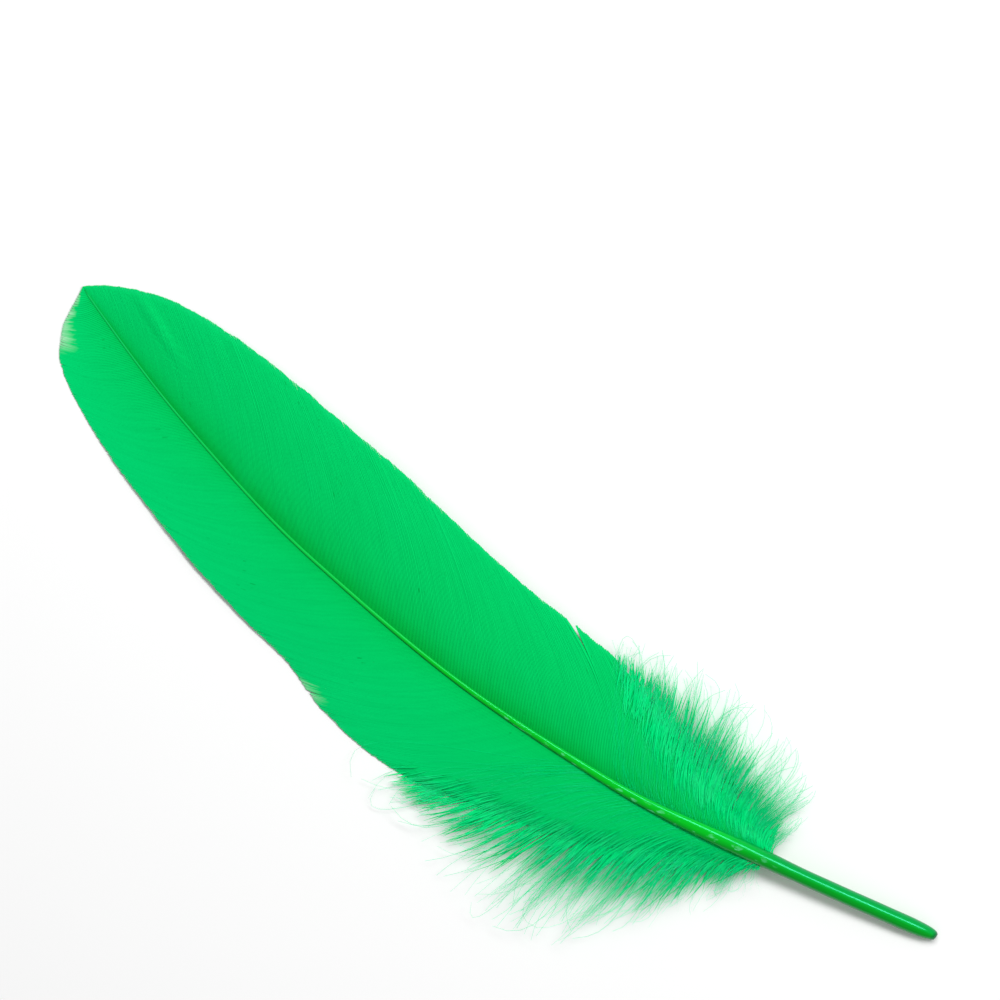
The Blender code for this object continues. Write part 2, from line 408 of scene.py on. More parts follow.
# the loose barbs and the barbules on them
downShape = {
    "samples": 14,
    "rootSpread": (0.1, 0.9),  # where in its own stretch of the shaft a tuft grows
    "rootScatter": 0.0006,
    "rootStray": 0.0005,  # how far before the fan's first barb one may grow
    "rootInside": 0.4,  # how far out from the shaft's middle a barb starts, in shaft radii
    "tuftScatter": 0.0016,  # how far along the shaft the tips of a whole tuft stray
    "tipScatter": 0.0008,  # how far the tips in one tuft stray
    "leave": math.radians(34),  # the angle to the shaft at which a barb leaves it
    "leaveReach": 0.42,  # how long it keeps that direction, as a share of its reach
    "arriveReach": 0.34,  # how long it keeps its last direction
    "curl": math.radians(24),
    "curlLean": 0.10,  # how much more they curl outwards than inwards
    "waves": (5, 11),  # how far a barb's slow wave turns on its way, in radians
    "phases": (0, 6),
    "sway": 0.0005,
    "shortest": 0.40,  # a tuft's length, as a share of the fan's reach, is at least this
    "spread": 0.72,  # and at most this much more
    "spreadPower": 0.9,
    "lengths": (0.8, 1.05),  # the barbs in one tuft differ by this factor
    "strayShare": 0.07,  # how many barbs are long thin strays
    "strayCurl": 2.3,  # how much more those curl
    "strayLengths": (1.05, 1.18),
    "strayBarbules": 0.45,  # how long their barbules are, against the others'
    "levels": (0.15, 1),  # how high up in the down a tuft lies
    "loft": (0.0004, 0.0022),  # how far barbs rise towards their tips
    "loftPower": 1.5,
    "riseOver": 0.004,  # how far past the vane's edge the down comes to its own height
    "looseOver": 0.003,  # how far before its edge the closed down starts to loosen
    "frayOver": 0.003,  # how far before the vane's edge the upper barbs start
    "rootRadius": 0.00009,
    "tipRadius": 0.000034,
    "thinRadius": 0.5,  # a barb's share of its radius where the down is thinnest
    "barbuleSpacing": 0.00019,
    "barbuleLength": 0.0019,
    "barbuleSlimness": 0.0100,
    "barbuleTaper": [(0, 0.5), (0.15, 0.9), (0.55, 1.0), (0.85, 0.55), (1, 0.2)],
    "barbuleRoll": 0.8,  # how far to either side of flat a barbule turns
    "barbuleLean": (0.42, 0.85),  # how far it leans out of the barb
    "barbuleSizes": (0.5, 1.2),
    "lowest": 0.00006,
    "lowestGuide": 0.0003,
    "clearance": 0.0003,  # the gap kept below the vane
    "toneSeed": 7,
}

# the loose barbs that grow below the vane
underLayer = {
    "seedStep": 0,
    "sink": 0.0011,  # how far below the vane the lowest tufts run
    "coveredHeight": 0.0004,  # the least height there
    "height": 0.0004,  # the lowest tufts' height past the vane's edge
    "rise": 0.0019,  # how much higher the highest are
    "coveredDense": 0.04,  # the share of barbules kept below the vane
    "dense": 0.08,  # the share kept in the closed down
    "looseDense": 0.87,  # and how much more in the loose wisps
}

# the loose barbs that fray the vane's edge from above
overLayer = {
    "seedStep": 500,
    "lift": 0.00018,
    "rise": 0.0016,
    "fall": 0.35,  # how much they sink past the vane's edge, as a share of its height
    "loftShare": 0.4,
    "dense": 0.10,
    "looseDense": 0.55,
    "leastRadius": 0.15,  # their share of the radius where hardly a barbule is left
}

# the flat barbs that make up the closed down
softShape = {
    "samples": 12,
    "steps": 60,  # how finely a barb is followed to find where it crosses the vane's edge
    "fewest": 3,  # the least number of those steps that it covers
    "curl": math.radians(7),
    "widest": 0.00034,
    "tipWidth": 0.00003,
    "taper": [(0, 0.1), (0.15, 0.8), (0.45, 1), (0.75, 0.5), (1, 0)],
    "widths": (0.7, 1.2),
    "uneven": 0.19,  # how much their lengths differ
    "deepest": 0.6,  # no barb starts further in than this share of the vane's width
    "pastEdge": 0.0004,  # every barb goes on at least this far past the vane's edge
    "lift": 0.00012,
    "liftSpread": 0.0003,
    "liftRamp": 4,
    "height": 0.0011,
    "heightSpread": 0.0013,
    "heightRise": 0.0003,
    "roll": 0.10,
    "seedStep": 900,
    "toneSeed": 3,
}


def downFan(down, rng, tufts, each, curl):
    # where each barb of the fan starts and which way it aims, how much it curls, and its own slow wave
    fan = np.array(down["fan"])
    count = tufts * each
    share = (np.arange(tufts) + rng.uniform(*downShape["rootSpread"], tufts)) / tufts
    roots = np.repeat(fan[0, 0] + (fan[-1, 0] - fan[0, 0]) * share, each)
    roots = roots + rng.normal(0, downShape["rootScatter"], count)
    roots = np.clip(roots, fan[0, 0] - downShape["rootStray"], None)
    tipStation = curveAt([(r[0], r[1]) for r in fan], roots)
    tipAcross = curveAt([(r[0], r[2]) for r in fan], roots)
    tipStation = tipStation + np.repeat(rng.normal(0, downShape["tuftScatter"], tufts), each)
    tipStation = tipStation + rng.normal(0, downShape["tipScatter"], count)
    start = np.stack([roots, downShape["rootInside"] * curveAt(plan["radius"], roots)], axis=1)
    aim = np.stack([tipStation, tipAcross], axis=1) - start
    curls = rng.normal(downShape["curlLean"], 1, count) * curl
    waves = rng.uniform(*downShape["waves"], count)
    phases = rng.uniform(*downShape["phases"], count)
    return start, aim, curls, waves, phases


def fanPath(fan, length, t):
    # stations and distances across along every barb, on a cubic curve at its shares t of the way out
    start, aim, curl, waves, phase = fan
    reach = aim * length[:, None]
    size = np.linalg.norm(reach, axis=1)
    turn = np.arctan2(reach[:, 1], reach[:, 0]) + curl
    leave = downShape["leave"]
    leaving = (math.cos(leave), math.sin(leave))
    arriving = (np.cos(turn), np.sin(turn))
    back = 1 - t
    path = []
    for axis in range(2):
        p0 = start[:, axis, None]
        p1 = p0 + (downShape["leaveReach"] * size * leaving[axis])[:, None]
        p3 = (start[:, axis] + reach[:, axis])[:, None]
        p2 = p3 - (downShape["arriveReach"] * size * arriving[axis])[:, None]
        path.append(back ** 3 * p0 + 3 * t * back ** 2 * p1 + 3 * t * t * back * p2 + t ** 3 * p3)
    path[0] = path[0] + downShape["sway"] * t * np.sin(t * waves[:, None] + phase[:, None])
    return path


def besideVane(vane, station, across):
    # the vane's width and height there, and how far past its edge a point is, from 0 to 1
    width = np.maximum(curveAt(vane["width"], station), vane["width"][0][1])
    top = vaneHeight(vane, station, np.minimum(across, width))
    return width, top, np.clip((across - width) / downShape["riseOver"], 0, 1)


def softGuides(down, vane):
    # flat soft barbs that lie side by side and carry the vane's surface on into the down
    rng = np.random.default_rng(down["seed"] + softShape["seedStep"])
    count = down["softBarbs"]
    steps = softShape["steps"]
    fan = downFan(down, rng, count, 1, softShape["curl"])
    whole = np.ones(count)
    fine = np.broadcast_to(np.linspace(0, 1, steps), (count, steps))
    station, across = fanPath(fan, whole, fine)
    width = besideVane(vane, station, across)[0]
    ends = curveAt(down["close"], station) * (1 + rng.normal(0, softShape["uneven"], (count, 1)))
    inside = np.minimum(down["inside"], softShape["deepest"] * width) * rng.random((count, 1))
    first = np.argmax(across > width - inside, axis=1)
    past = across > np.maximum(ends, width + softShape["pastEdge"])
    last = np.where(past.any(1), np.argmax(past, axis=1), steps - 1)
    last = np.maximum(last, first + softShape["fewest"])
    u = np.linspace(0, 1, softShape["samples"])[None, :]
    t = (first[:, None] + (last - first)[:, None] * u) / (steps - 1)
    station, across = fanPath(fan, whole, np.minimum(t, 1))
    top, beyond = besideVane(vane, station, across)[1:]
    ramped = np.minimum(softShape["liftRamp"] * u, 1)
    lying = top + softShape["lift"] + softShape["liftSpread"] * rng.random((count, 1)) * ramped
    lifted = softShape["height"] + softShape["heightSpread"] * rng.random((count, 1))
    lifted = lifted + softShape["heightRise"] * u
    z = np.maximum(lying + (lifted - lying) * beyond, downShape["lowestGuide"])
    points = place(down["side"], station, across, z)
    tangent = np.gradient(points, axis=1)
    tangent /= np.linalg.norm(tangent, axis=2, keepdims=True)
    roll = rng.normal(0, softShape["roll"], (count, 1)) + 0 * u
    sideways = np.stack([-tangent[..., 1], tangent[..., 0], roll], axis=-1)
    taper = linear(softShape["taper"], u[0])[None, :]
    width = softShape["tipWidth"] + (softShape["widest"] - softShape["tipWidth"]) * taper
    width = width * rng.uniform(*softShape["widths"], (count, 1))
    return points, sideways, width, u * np.ones((count, 1))


def downGuides(down, vane, layer):
    # loose barbs in tufts, with how dense their barbules are and how thick each barb is
    shape = underLayer if layer == "under" else overLayer
    rng = np.random.default_rng(down["seed"] + shape["seedStep"])
    tufts, each = down["tufts"], down["barbsInTuft"]
    count = tufts * each
    start, aim, curl, waves, phase = downFan(down, rng, tufts, each, downShape["curl"])
    spread = downShape["spread"] * rng.random(tufts) ** downShape["spreadPower"]
    length = np.repeat(downShape["shortest"] + spread, each)
    length = length * rng.uniform(*downShape["lengths"], count)
    stray = rng.random(count) < downShape["strayShare"]
    length = np.where(stray, rng.uniform(*downShape["strayLengths"], count), length)
    curl = curl * np.where(stray, downShape["strayCurl"], 1)
    t = np.linspace(0, 1, downShape["samples"])[None, :]
    station, across = fanPath((start, aim, curl, waves, phase), length, t)
    width, top, beyond = besideVane(vane, station, across)
    level = np.repeat(rng.uniform(*downShape["levels"], tufts), each)[:, None]
    loft = rng.uniform(*downShape["loft"], (count, 1)) * t ** downShape["loftPower"]
    closed = curveAt(down["close"], station)
    looseOver = downShape["looseOver"]
    loose = np.clip((across - closed + looseOver) / looseOver, 0, 1)
    dense = shape["dense"] + shape["looseDense"] * loose
    if layer == "under":
        covered = top - downShape["clearance"] - shape["sink"] * (1 - level)
        covered = np.maximum(covered, shape["coveredHeight"])
        lifted = shape["height"] + shape["rise"] * level + loft
        z = covered + (lifted - covered) * beyond
        dense = np.where(beyond > 0, dense, shape["coveredDense"])
    else:
        z = top + shape["lift"] + (shape["rise"] * level - top * shape["fall"]) * beyond
        z = z + shape["loftShare"] * loft
        frayOver = downShape["frayOver"]
        dense = np.clip((across - width + frayOver) / frayOver, 0, 1) * dense
    full = curveAt(down["thin"], start[:, 0])[:, None]
    dense = dense * full
    points = place(down["side"], station, across, np.maximum(z, downShape["lowestGuide"]))
    barbule = linear(downShape["barbuleTaper"], t[0])[None, :]
    barbule = barbule * np.where(stray, downShape["strayBarbules"], 1.0)[:, None]
    radius = downShape["rootRadius"] + (downShape["tipRadius"] - downShape["rootRadius"]) * t
    radius = radius * (downShape["thinRadius"] + (1 - downShape["thinRadius"]) * full)
    if layer == "over":
        radius = radius * np.clip(dense + shape["leastRadius"], shape["leastRadius"], 1)
    return points, dense, barbule, radius, t * np.ones((count, 1))


def downTree():
    # a soft barb along each guide, with barbules that lean out of it on both sides
    tree, start, end = newTree("downBarbs", [
        ("Barbule Spacing", "Float", downShape["barbuleSpacing"]),
        ("Barbule Length", "Float", downShape["barbuleLength"]),
        ("Barbule Slimness", "Float", downShape["barbuleSlimness"]),
        ("Seed", "Int", 1),
        ("Material", "Material", None),
    ])
    seed = start.outputs["Seed"]

    def randomly(low, high, add):
        picked = node(tree, "FunctionNodeRandomValue", data_type="FLOAT")
        picked.inputs[2].default_value = low
        picked.inputs[3].default_value = high
        tree.links.new(maths(tree, "ADD", seed, add), picked.inputs["Seed"])
        return picked.outputs[1]

    curve = node(tree, "GeometryNodeMeshToCurve", {"Mesh": start.outputs["Geometry"]}).outputs[0]
    curve = node(tree, "GeometryNodeSetCurveNormal", {"Curve": curve}, mode="Z_UP").outputs[0]
    stem = node(tree, "GeometryNodeCurvePrimitiveCircle", {"Resolution": 3, "Radius": 1.0}).outputs[0]
    stems = node(tree, "GeometryNodeCurveToMesh", {
        "Curve": curve, "Profile Curve": stem,
        "Scale": named(tree, "downRadius"), "Fill Caps": True}).outputs[0]

    barbule = node(tree, "GeometryNodeMeshCone", {
        "Vertices": 3, "Radius Top": 0.0, "Radius Bottom": start.outputs["Barbule Slimness"],
        "Depth": 1.0}).outputs["Mesh"]

    spots = node(tree, "GeometryNodeCurveToPoints", {"Curve": curve}, mode="LENGTH")
    tree.links.new(start.outputs["Barbule Spacing"], spots.inputs["Length"])
    sideways = times(tree, maths(tree, "ROUND", randomly(0, 1, 1)), math.pi)
    most = downShape["barbuleRoll"]
    roll = maths(tree, "ADD", sideways, randomly(-most, most, 2))
    rolled = node(tree, "FunctionNodeAxisAngleToRotation", {
        "Axis": (0, 0, 1), "Angle": roll}).outputs[0]
    leaned = node(tree, "FunctionNodeAxisAngleToRotation", {
        "Axis": (0, 1, 0), "Angle": randomly(*downShape["barbuleLean"], 3)}).outputs[0]
    turned = node(tree, "FunctionNodeRotateRotation", {
        "Rotation": spots.outputs["Rotation"], "Rotate By": rolled}, rotation_space="LOCAL").outputs[0]
    turned = node(tree, "FunctionNodeRotateRotation", {
        "Rotation": turned, "Rotate By": leaned}, rotation_space="LOCAL").outputs[0]
    size = times(tree, start.outputs["Barbule Length"], named(tree, "barbuleScale"))
    size = times(tree, size, randomly(*downShape["barbuleSizes"], 4))
    kept = maths(tree, "LESS_THAN", randomly(0, 1, 5), named(tree, "downDense"))
    put = node(tree, "GeometryNodeInstanceOnPoints", {
        "Points": spots.outputs["Points"], "Instance": barbule, "Rotation": turned,
        "Selection": kept, "Scale": size}).outputs[0]
    both = node(tree, "GeometryNodeJoinGeometry")
    tree.links.new(stems, both.inputs[0])
    tree.links.new(put, both.inputs[0])
    finishTree(tree, start, end, both.outputs[0])
    return tree


def makeDown(name, cadNode, down, vane, layer, tree, material):
    points, dense, barbule, radius, t = downGuides(down, vane, layer)
    rows, samples, _ = points.shape
    rng = np.random.default_rng(down["seed"] + downShape["toneSeed"])
    mesh = polylines(name, points)
    setAttribute(mesh, "downDense", dense)
    setAttribute(mesh, "barbuleScale", barbule)
    setAttribute(mesh, "downRadius", radius)
    setAttribute(mesh, "downOut", t)
    setAttribute(mesh, "downTone", np.repeat(rng.uniform(0, 1, rows), samples))
    made = shapedBy(name, mesh, tree, {"Seed": down["seed"], "Material": material})
    finishDown(made, cadNode)


def makeSoft(name, cadNode, down, vane, tree, material):
    points, sideways, width, out = softGuides(down, vane)
    rows, samples, _ = points.shape
    rng = np.random.default_rng(down["seed"] + softShape["toneSeed"])
    mesh = polylines(name, points)
    setAttribute(mesh, "barbAcross", sideways, "FLOAT_VECTOR")
    setAttribute(mesh, "barbWidth", width)
    setAttribute(mesh, "downOut", out)
    setAttribute(mesh, "downTone", np.repeat(rng.uniform(0, 1, rows), samples))
    made = shapedBy(name, mesh, tree, {"Crown": barbShape["crown"], "Material": material})
    finishDown(made, cadNode)


def finishDown(made, cadNode):
    # presses flat what would reach below the table, and hands the piece to the frame
    spots = np.empty(len(made.data.vertices) * 3, np.float32)
    made.data.vertices.foreach_get("co", spots)
    spots = spots.reshape(-1, 3)
    spots[:, 2] = np.maximum(spots[:, 2], downShape["lowest"])
    made.data.vertices.foreach_set("co", spots.ravel())
    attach(made, "root")
    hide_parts(cadNode)
    triangles = sum(len(p.vertices) - 2 for p in made.data.polygons)
    print(made.name, triangles, "triangles")


quill = {
    "rings": 170,
    "sides": 32,
    "crowding": 1.2,  # above 1, the rings stand closer together at the quill's end
    "length": 0.2224,
    "endLength": 0.0005,  # over this length the blunt end rounds off
    "endStart": 0.72,  # the end's cross-section grows from this share
    "endGrowth": 0.28,  # by this much
    "tipRadius": 0.00006,
    "pitDepth": 0.0009,
    "pitShare": 0.5,
    "grooveFrom": 0.052,
    "grooveFade": 0.02,
    "grooveDepth": 0.3,
    "grooveWidth": 0.5,
    "squareFrom": 0.040,
    "squareFade": 0.015,
    "squareness": 1.0,
    "wobble": 0.012,
    "wobbleLengths": (0.0021, 0.0083),
    "lowest": 0.00003,
}


def makeQuill(material):
    # quill and rachis in one loft of rings, with a pit in the blunt end and a groove underneath
    rings, sides = quill["rings"], quill["sides"]
    share = np.linspace(0, 1, rings)
    station = (quill["length"] + plan["overhang"]) * share ** quill["crowding"] - plan["overhang"]
    radius = curveAt(plan["radius"], station)
    quick, slow = quill["wobbleLengths"]
    radius = radius * (1 + quill["wobble"] * np.sin(station / quick) * np.sin(station / slow + 1))
    endRound = np.clip((station + plan["overhang"]) / quill["endLength"], 0, 1)
    radius = radius * np.sqrt(quill["endStart"] + quill["endGrowth"] * endRound * (2 - endRound))
    radius[-1] = quill["tipRadius"]
    turn = np.linspace(0, 2 * math.pi, sides, endpoint=False)
    underneath = 1.5 * math.pi
    groove = np.exp(-((turn - underneath) / quill["grooveWidth"]) ** 2)
    grown = np.clip((station - quill["grooveFrom"]) / quill["grooveFade"], 0, 1)
    shape = 1 - quill["grooveDepth"] * grown[:, None] * groove[None, :]
    # the quill is round in section, and the rachis has flatter sides and a flatter top
    squared = np.clip((station - quill["squareFrom"]) / quill["squareFade"], 0, 1)[:, None]
    power = 2 / (2 + quill["squareness"] * squared)
    across = radius[:, None] * shape * np.sign(np.cos(turn)) * np.abs(np.cos(turn)) ** power
    rise = radius[:, None] * shape * np.sign(np.sin(turn)) * np.abs(np.sin(turn)) ** power
    height = curveAt(plan["height"], station)[:, None] + rise
    points = place(1, station[:, None], across, np.maximum(height, quill["lowest"]))
    pitRing = points[0] * quill["pitShare"] + points[0].mean(0) * (1 - quill["pitShare"])
    pitFloor = pitRing.mean(0) - Vector((quill["pitDepth"], 0, 0))
    tipMiddle = points[-1].mean(0)
    vertices = np.concatenate([points.reshape(-1, 3), pitRing, pitFloor[None], tipMiddle[None]])
    body = rings * sides
    faces = []
    for k in range(sides):
        after = (k + 1) % sides
        for r in range(rings - 1):
            low, high = r * sides, (r + 1) * sides
            faces.append((low + k, high + k, high + after, low + after))
        faces.append((k, after, body + after, body + k))
        faces.append((body + k, body + after, body + sides))
        faces.append(((rings - 1) * sides + k, body + sides + 1, (rings - 1) * sides + after))
    mesh = bpy.data.meshes.new("quill")
    mesh.from_pydata(vertices.tolist(), [], faces)
    along = np.concatenate([np.repeat(station, sides), np.zeros(sides + 1), [quill["length"]]])
    setAttribute(mesh, "shaftStation", along)
    setAttribute(mesh, "shaftTurn", np.concatenate([np.tile(turn, rings), turn, [0.0, 0.0]]))
    mesh.materials.append(material)
    mesh.shade_smooth()
    made = linked("quill", mesh)
    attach(made, "root")
    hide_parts("quill_shaft")
    print("quill", len(faces), "faces")


def newMaterial(name, roughness, specular, shineTint=(1, 1, 1)):
    made = bpy.data.materials.new(name)
    made.use_nodes = True
    shader = made.node_tree.nodes["Principled BSDF"]
    shader.inputs["Specular Tint"].default_value = (*shineTint, 1)
    shader.inputs["Roughness"].default_value = roughness
    shader.inputs["Specular IOR Level"].default_value = specular
    return made, made.node_tree, shader


def attribute(tree, name):
    return node(tree, "ShaderNodeAttribute", attribute_name=name).outputs["Fac"]


def ramp(tree, value, stops):
    made = node(tree, "ShaderNodeValToRGB", {"Fac": value})
    line = made.color_ramp
    while len(line.elements) < len(stops):
        line.elements.new(0.5)
    for element, (position, colour) in zip(line.elements, stops):
        element.position = position
        element.color = (*colour, 1)
    return made.outputs["Color"]


def blended(tree, share, below, above):
    made = node(tree, "ShaderNodeMix", data_type="RGBA")
    for socket, value in ((made.inputs[0], share), (made.inputs[6], below), (made.inputs[7], above)):
        if isinstance(value, bpy.types.NodeSocket):
            tree.links.new(value, socket)
        else:
            socket.default_value = value if isinstance(value, float) else (*value, 1)
    return made.outputs[2]


def noise(tree, vector, scale, detail=3.0):
    made = node(tree, "ShaderNodeTexNoise", {"Vector": vector, "Scale": scale, "Detail": detail})
    return made.outputs["Fac"]


def between(tree, value, low, high):
    made = node(tree, "ShaderNodeMapRange", {"Value": value, "From Min": low, "From Max": high})
    return made.outputs["Result"]


# A "Noise" entry is (scale one way, scale the other way, offset, detail). A "Range" is the span of its
# values that fades the colour in, and a "Share" is how much of that colour goes on at most.
vaneDyeAndShade = {
    # From the shaft (0) out to the vane's edge (1). The darker colour next to the shaft is painted shade,
    # the shadow of the raised shaft and of the vane dipping beside it, and it is deeper on the inner
    # vane.
    "outer": [(0.0, (0, 0.515, 0.077)), (0.06, (0, 0.572, 0.108)),
              (0.22, (0, 0.610, 0.127)), (1.0, (0, 0.655, 0.164))],
    "inner": [(0.0, (0, 0.405, 0.038)), (0.06, (0, 0.455, 0.056)), (0.16, (0, 0.530, 0.088)),
              (0.40, (0, 0.595, 0.120)), (1.0, (0, 0.640, 0.144))],
    "edge": (0, 0.640, 0.165),
    "deep": (0, 0.300, 0.060),
    "fleck": (0, 0.300, 0.040),
    "rim": (0.010, 0.700, 0.240),
    "pale": (0.420, 0.820, 0.500),
    "finish": (0.6, 0.12, (0.1, 1, 0.5)),  # roughness, specular level and the shine's tint
    "streakNoise": (900.0, 70.0, 0.0, 4.0),
    "streakRange": (0.42, 0.75),
    "streakShare": 0.14,
    "toneShare": 0.05,
    "mottleNoise": (90.0, 60.0, 3.0, 2.0),
    "mottleRange": (0.5, 0.8),
    "mottleShare": 0.22,
    "fleckNoise": (2600.0, 420.0, 8.0, 2.0),
    "fleckRange": (0.66, 0.74),
    "patchNoise": (60.0, 90.0, 5.0, 1.0),
    "patchRange": (0.52, 0.66),
    "fleckShare": 0.6,
    "rimRange": (0.965, 1.0),
    "rimShare": 0.35,
    "paleRange": (0.1, 0.9),
    "fineNoise": (6000.0, 9000.0, 0.0, 2.0),
    "bumpStrength": 0.15,
    "bumpDistance": 0.00004,
    "roughness": (0.5, 0.7),
}


def grained(tree, first, second, shape):
    firstScale, secondScale, offset, detail = shape
    a = times(tree, first, firstScale)
    b = times(tree, second, secondScale)
    spot = node(tree, "ShaderNodeCombineXYZ", {"X": a, "Y": b, "Z": offset}).outputs[0]
    return noise(tree, spot, 1.0, detail)


def faded(tree, value, limits, share):
    return times(tree, between(tree, value, *limits), share)


def bumped(tree, shader, height, look):
    bump = node(tree, "ShaderNodeBump", {
        "Strength": look["bumpStrength"], "Distance": look["bumpDistance"], "Height": height})
    tree.links.new(bump.outputs[0], shader.inputs["Normal"])


def roughened(tree, value, limits):
    low, high = limits
    made = node(tree, "ShaderNodeMapRange", {"Value": value, "To Min": low, "To Max": high})
    return made.outputs["Result"]


def vaneMaterial(name, dyeAndShade):
    made, tree, shader = newMaterial(name, *vaneDyeAndShade["finish"])
    root = attribute(tree, "barbRoot")
    length = attribute(tree, "barbLength")
    out = attribute(tree, "barbOut")
    tone = attribute(tree, "barbTone")
    streaks = grained(tree, root, length, vaneDyeAndShade["streakNoise"])
    mottle = grained(tree, root, length, vaneDyeAndShade["mottleNoise"])
    flecks = grained(tree, root, length, vaneDyeAndShade["fleckNoise"])
    patches = between(tree, grained(tree, root, length, vaneDyeAndShade["patchNoise"]), *vaneDyeAndShade["patchRange"])
    marked = times(tree, between(tree, flecks, *vaneDyeAndShade["fleckRange"]), patches)
    layers = [
        (faded(tree, streaks, vaneDyeAndShade["streakRange"], vaneDyeAndShade["streakShare"]), vaneDyeAndShade["deep"]),
        (times(tree, tone, vaneDyeAndShade["toneShare"]), vaneDyeAndShade["deep"]),
        (faded(tree, mottle, vaneDyeAndShade["mottleRange"], vaneDyeAndShade["mottleShare"]), vaneDyeAndShade["edge"]),
        (times(tree, marked, vaneDyeAndShade["fleckShare"]), vaneDyeAndShade["fleck"]),
        (faded(tree, out, vaneDyeAndShade["rimRange"], vaneDyeAndShade["rimShare"]), vaneDyeAndShade["rim"]),
        (between(tree, attribute(tree, "barbPale"), *vaneDyeAndShade["paleRange"]), vaneDyeAndShade["pale"]),
    ]
    # base colour across the barbs, which carries painted shade next to the shaft
    colour = ramp(tree, out, dyeAndShade)
    for share, above in layers:
        colour = blended(tree, share, colour, above)
    tree.links.new(colour, shader.inputs["Base Color"])
    bumped(tree, shader, grained(tree, root, length, vaneDyeAndShade["fineNoise"]), vaneDyeAndShade)
    tree.links.new(roughened(tree, streaks, vaneDyeAndShade["roughness"]), shader.inputs["Roughness"])
    return made


downDye = {
    # loose fibres shade each other, so their own colour is much lighter than a tuft of them looks
    "loose": [(0.0, (0, 0.900, 0.300)), (0.45, (0, 0.920, 0.370)),
              (0.80, (0.020, 0.930, 0.430)), (1.0, (0.080, 0.940, 0.480))],
    "looseDeep": (0, 0.720, 0.220),
    "loosePale": (0.050, 0.960, 0.520),
    "soft": [(0.0, (0, 0.700, 0.165)), (0.4, (0, 0.770, 0.205)), (1.0, (0.010, 0.860, 0.310))],
    "softDeep": (0, 0.430, 0.100),
    "softPale": (0.030, 0.780, 0.300),
    "finish": (0.85, 0.05, (0.1, 1, 0.5)),
    "toneShare": 0.3,
    "patchScale": 260.0,
    "patchRange": (0.4, 0.75),
    "patchShare": 0.3,
    "roughness": (0.8, 0.95),
}


def downMaterial(name, kind):
    made, tree, shader = newMaterial(name, *downDye["finish"])
    out = attribute(tree, "downOut")
    tone = attribute(tree, "downTone")
    colour = ramp(tree, out, downDye[kind])
    shaded = times(tree, tone, downDye["toneShare"])
    colour = blended(tree, shaded, colour, downDye[kind + "Deep"])
    places = node(tree, "ShaderNodeTexCoord").outputs["Object"]
    patch = between(tree, noise(tree, places, downDye["patchScale"]), *downDye["patchRange"])
    lit = times(tree, patch, downDye["patchShare"])
    colour = blended(tree, lit, colour, downDye[kind + "Pale"])
    tree.links.new(colour, shader.inputs["Base Color"])
    tree.links.new(roughened(tree, patch, downDye["roughness"]), shader.inputs["Roughness"])
    return made


hornDyeAndShade = {
    # round the quill from its outer side (0) over the top (0.5) to its inner side (1). On the quill the
    # darker colour at both sides is painted shade and the lighter colour over the top is painted light,
    # with the outer half yellower where light comes through the tube. On the rachis the darker outer
    # side, away from the lamp, is painted shade and the lighter top towards the inner side is painted
    # light.
    "quill": [(0.0, (0, 0.170, 0.006)), (0.12, (0, 0.290, 0.001)), (0.42, (0, 0.350, 0.001)),
              (0.56, (0, 0.430, 0.030)), (0.78, (0, 0.370, 0.050)), (1.0, (0, 0.270, 0.055))],
    "rachis": [(0.0, (0, 0.230, 0.008)), (0.25, (0, 0.370, 0.001)), (0.50, (0, 0.520, 0.001)),
               (0.80, (0, 0.600, 0.020)), (1.0, (0, 0.420, 0.060))],
    "far": (0, 0.500, 0.085),
    "worn": (0.180, 0.800, 0.480),
    "grain": (0, 0.200, 0.004),
    "cut": (0, 0.120, 0.020),
    "finish": (0.2, 0.6, (0.14, 1.0, 0.80)),
    # stations between which one look of the shaft turns into the next
    "rachisRange": (0.034, 0.050),
    "farRange": (0.120, 0.215),
    "cutRange": (0.0004, -0.0005),
    "grainNoise": (260.0, 5.0, 0.0, 4.0),
    "grainRange": (0.45, 0.8),
    "grainShare": 0.28,
    # worn specks lie on the shaft's outer side, between these stations
    "speckNoise": (380.0, 1.5, 4.0, 3.0),
    "speckRange": (0.59, 0.65),
    "speckFrom": (0.034, 0.040),
    "speckTo": (0.108, 0.096),
    "speckSide": (0.62, 0.35),
    "speckShare": 0.5,
    "roughness": (0.13, 0.20),
    "dullRange": (0.100, 0.160),
    "dullShare": 0.45,  # how much rougher the rachis is towards the tip
    "bumpStrength": 0.2,
    "bumpDistance": 0.00005,
}


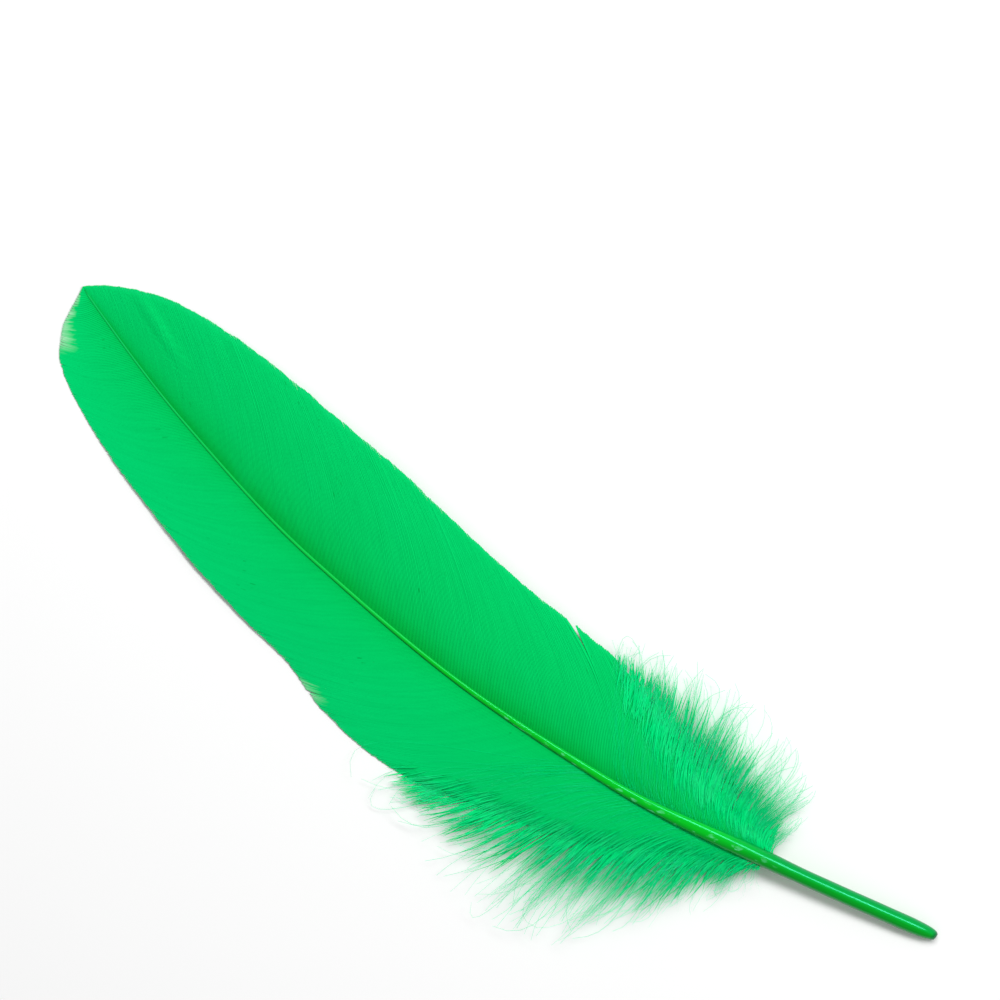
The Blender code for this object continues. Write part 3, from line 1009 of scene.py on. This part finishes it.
def hornMaterial():
    made, tree, shader = newMaterial("dyedHornWithPaintedShade", *hornDyeAndShade["finish"])
    station = attribute(tree, "shaftStation")
    turn = attribute(tree, "shaftTurn")
    half = 0.5
    # round the shaft: the colour picked from this carries painted shade at the sides and painted light
    # over the top
    side = maths(tree, "MULTIPLY_ADD", maths(tree, "COSINE", turn), half, half)
    quillDyeAndShading, rachisDyeAndShading = ramp(tree, side, hornDyeAndShade["quill"]), ramp(tree, side, hornDyeAndShade["rachis"])
    grain = grained(tree, station, turn, hornDyeAndShade["grainNoise"])
    specks = grained(tree, station, turn, hornDyeAndShade["speckNoise"])
    fromHere = between(tree, station, *hornDyeAndShade["speckFrom"])
    band = times(tree, fromHere, between(tree, station, *hornDyeAndShade["speckTo"]))
    worn = times(tree, between(tree, specks, *hornDyeAndShade["speckRange"]), band)
    worn = times(tree, worn, between(tree, side, *hornDyeAndShade["speckSide"]))
    layers = [
        (between(tree, station, *hornDyeAndShade["farRange"]), hornDyeAndShade["far"]),
        (between(tree, station, *hornDyeAndShade["cutRange"]), hornDyeAndShade["cut"]),
        (faded(tree, grain, hornDyeAndShade["grainRange"], hornDyeAndShade["grainShare"]), hornDyeAndShade["grain"]),
        (times(tree, worn, hornDyeAndShade["speckShare"]), hornDyeAndShade["worn"]),
    ]
    colour = blended(tree, between(tree, station, *hornDyeAndShade["rachisRange"]), quillDyeAndShading, rachisDyeAndShading)
    for share, above in layers:
        colour = blended(tree, share, colour, above)
    tree.links.new(colour, shader.inputs["Base Color"])
    dull = faded(tree, station, hornDyeAndShade["dullRange"], hornDyeAndShade["dullShare"])
    rough = maths(tree, "ADD", roughened(tree, grain, hornDyeAndShade["roughness"]), dull)
    tree.links.new(rough, shader.inputs["Roughness"])
    bumped(tree, shader, grain, hornDyeAndShade)
    return made


studio = {
    "lookAt": (-0.1268, 0.0175),  # the point of the table the camera looks down on, from station 0
    "turn": math.radians(37.1),
    "distance": 1.45,  # far off, so that the arched shaft keeps its place over the flat vanes
    "lens": 250.0,
    "nearest": 0.01,
    "keyLean": math.radians(27),
    "keyDistance": 0.8,
    "keyLength": 0.90,  # a long box over the shaft, so that its gleam runs the whole way
    "keyWidth": 0.20,
    "keyPower": 6.1,
    "sky": 0.44,
    "floorHalf": 1.5,
    "floorColour": (0.93, 0.93, 0.93, 1),
    "floorFinish": (0.9, 0.1),  # roughness and specular level
}


def makeStudio():
    floor = bpy.data.meshes.new("floor")
    half = studio["floorHalf"]
    corners = [(-half, -half, 0), (half, -half, 0), (half, half, 0), (-half, half, 0)]
    floor.from_pydata(corners, [], [(0, 1, 2, 3)])
    made, _, shader = newMaterial("paleTable", *studio["floorFinish"])
    shader.inputs["Base Color"].default_value = studio["floorColour"]
    floor.materials.append(made)
    table = linked("floor", floor)

    middle = Vector((startX + studio["lookAt"][0], shiftY + studio["lookAt"][1], 0))
    camera = linked("camera", bpy.data.cameras.new("camera"))
    camera.data.lens = studio["lens"]
    camera.data.clip_start = studio["nearest"]
    camera.location = middle + Vector((0, 0, studio["distance"]))
    camera.rotation_euler = (0, 0, studio["turn"])
    bpy.context.scene.camera = camera

    key = linked("softBox", bpy.data.lights.new("softBox", "AREA"))
    key.data.shape = "RECTANGLE"
    key.data.size = studio["keyLength"]
    key.data.size_y = studio["keyWidth"]
    key.data.energy = studio["keyPower"]
    lean = studio["keyLean"]
    away = Vector((0, math.sin(lean), math.cos(lean))) * studio["keyDistance"]
    key.location = middle + away
    key.rotation_euler = away.to_track_quat("Z", "Y").to_euler()

    world = bpy.data.worlds.new("studio")
    world.use_nodes = True
    sky = world.node_tree.nodes["Background"]
    sky.inputs["Color"].default_value = (1, 1, 1, 1)
    sky.inputs["Strength"].default_value = studio["sky"]
    bpy.context.scene.world = world
    bpy.context.scene.view_settings.view_transform = "Standard"
    print("studio ready")


makeStudio()
ribs = barbTree()
makeVane("outerVane", "vane_outer", outerVane, ribs, vaneMaterial("outerBarbs", vaneDyeAndShade["outer"]))
makeVane("innerVane", "vane_inner", innerVane, ribs, vaneMaterial("innerBarbs", vaneDyeAndShade["inner"]))
soft = downTree()
fluff = downMaterial("looseDown", "loose")
silk = downMaterial("softDown", "soft")
makeSoft("outerDownSoft", "down_outer", outerDown, outerVane, ribs, silk)
makeSoft("innerDownSoft", "down_inner", innerDown, innerVane, ribs, silk)
makeDown("outerDownUnder", "down_outer", outerDown, outerVane, "under", soft, fluff)
makeDown("outerDownOver", "down_outer", outerDown, outerVane, "over", soft, fluff)
makeDown("innerDownUnder", "down_inner", innerDown, innerVane, "under", soft, fluff)
makeDown("innerDownOver", "down_inner", innerDown, innerVane, "over", soft, fluff)
makeQuill(hornMaterial())
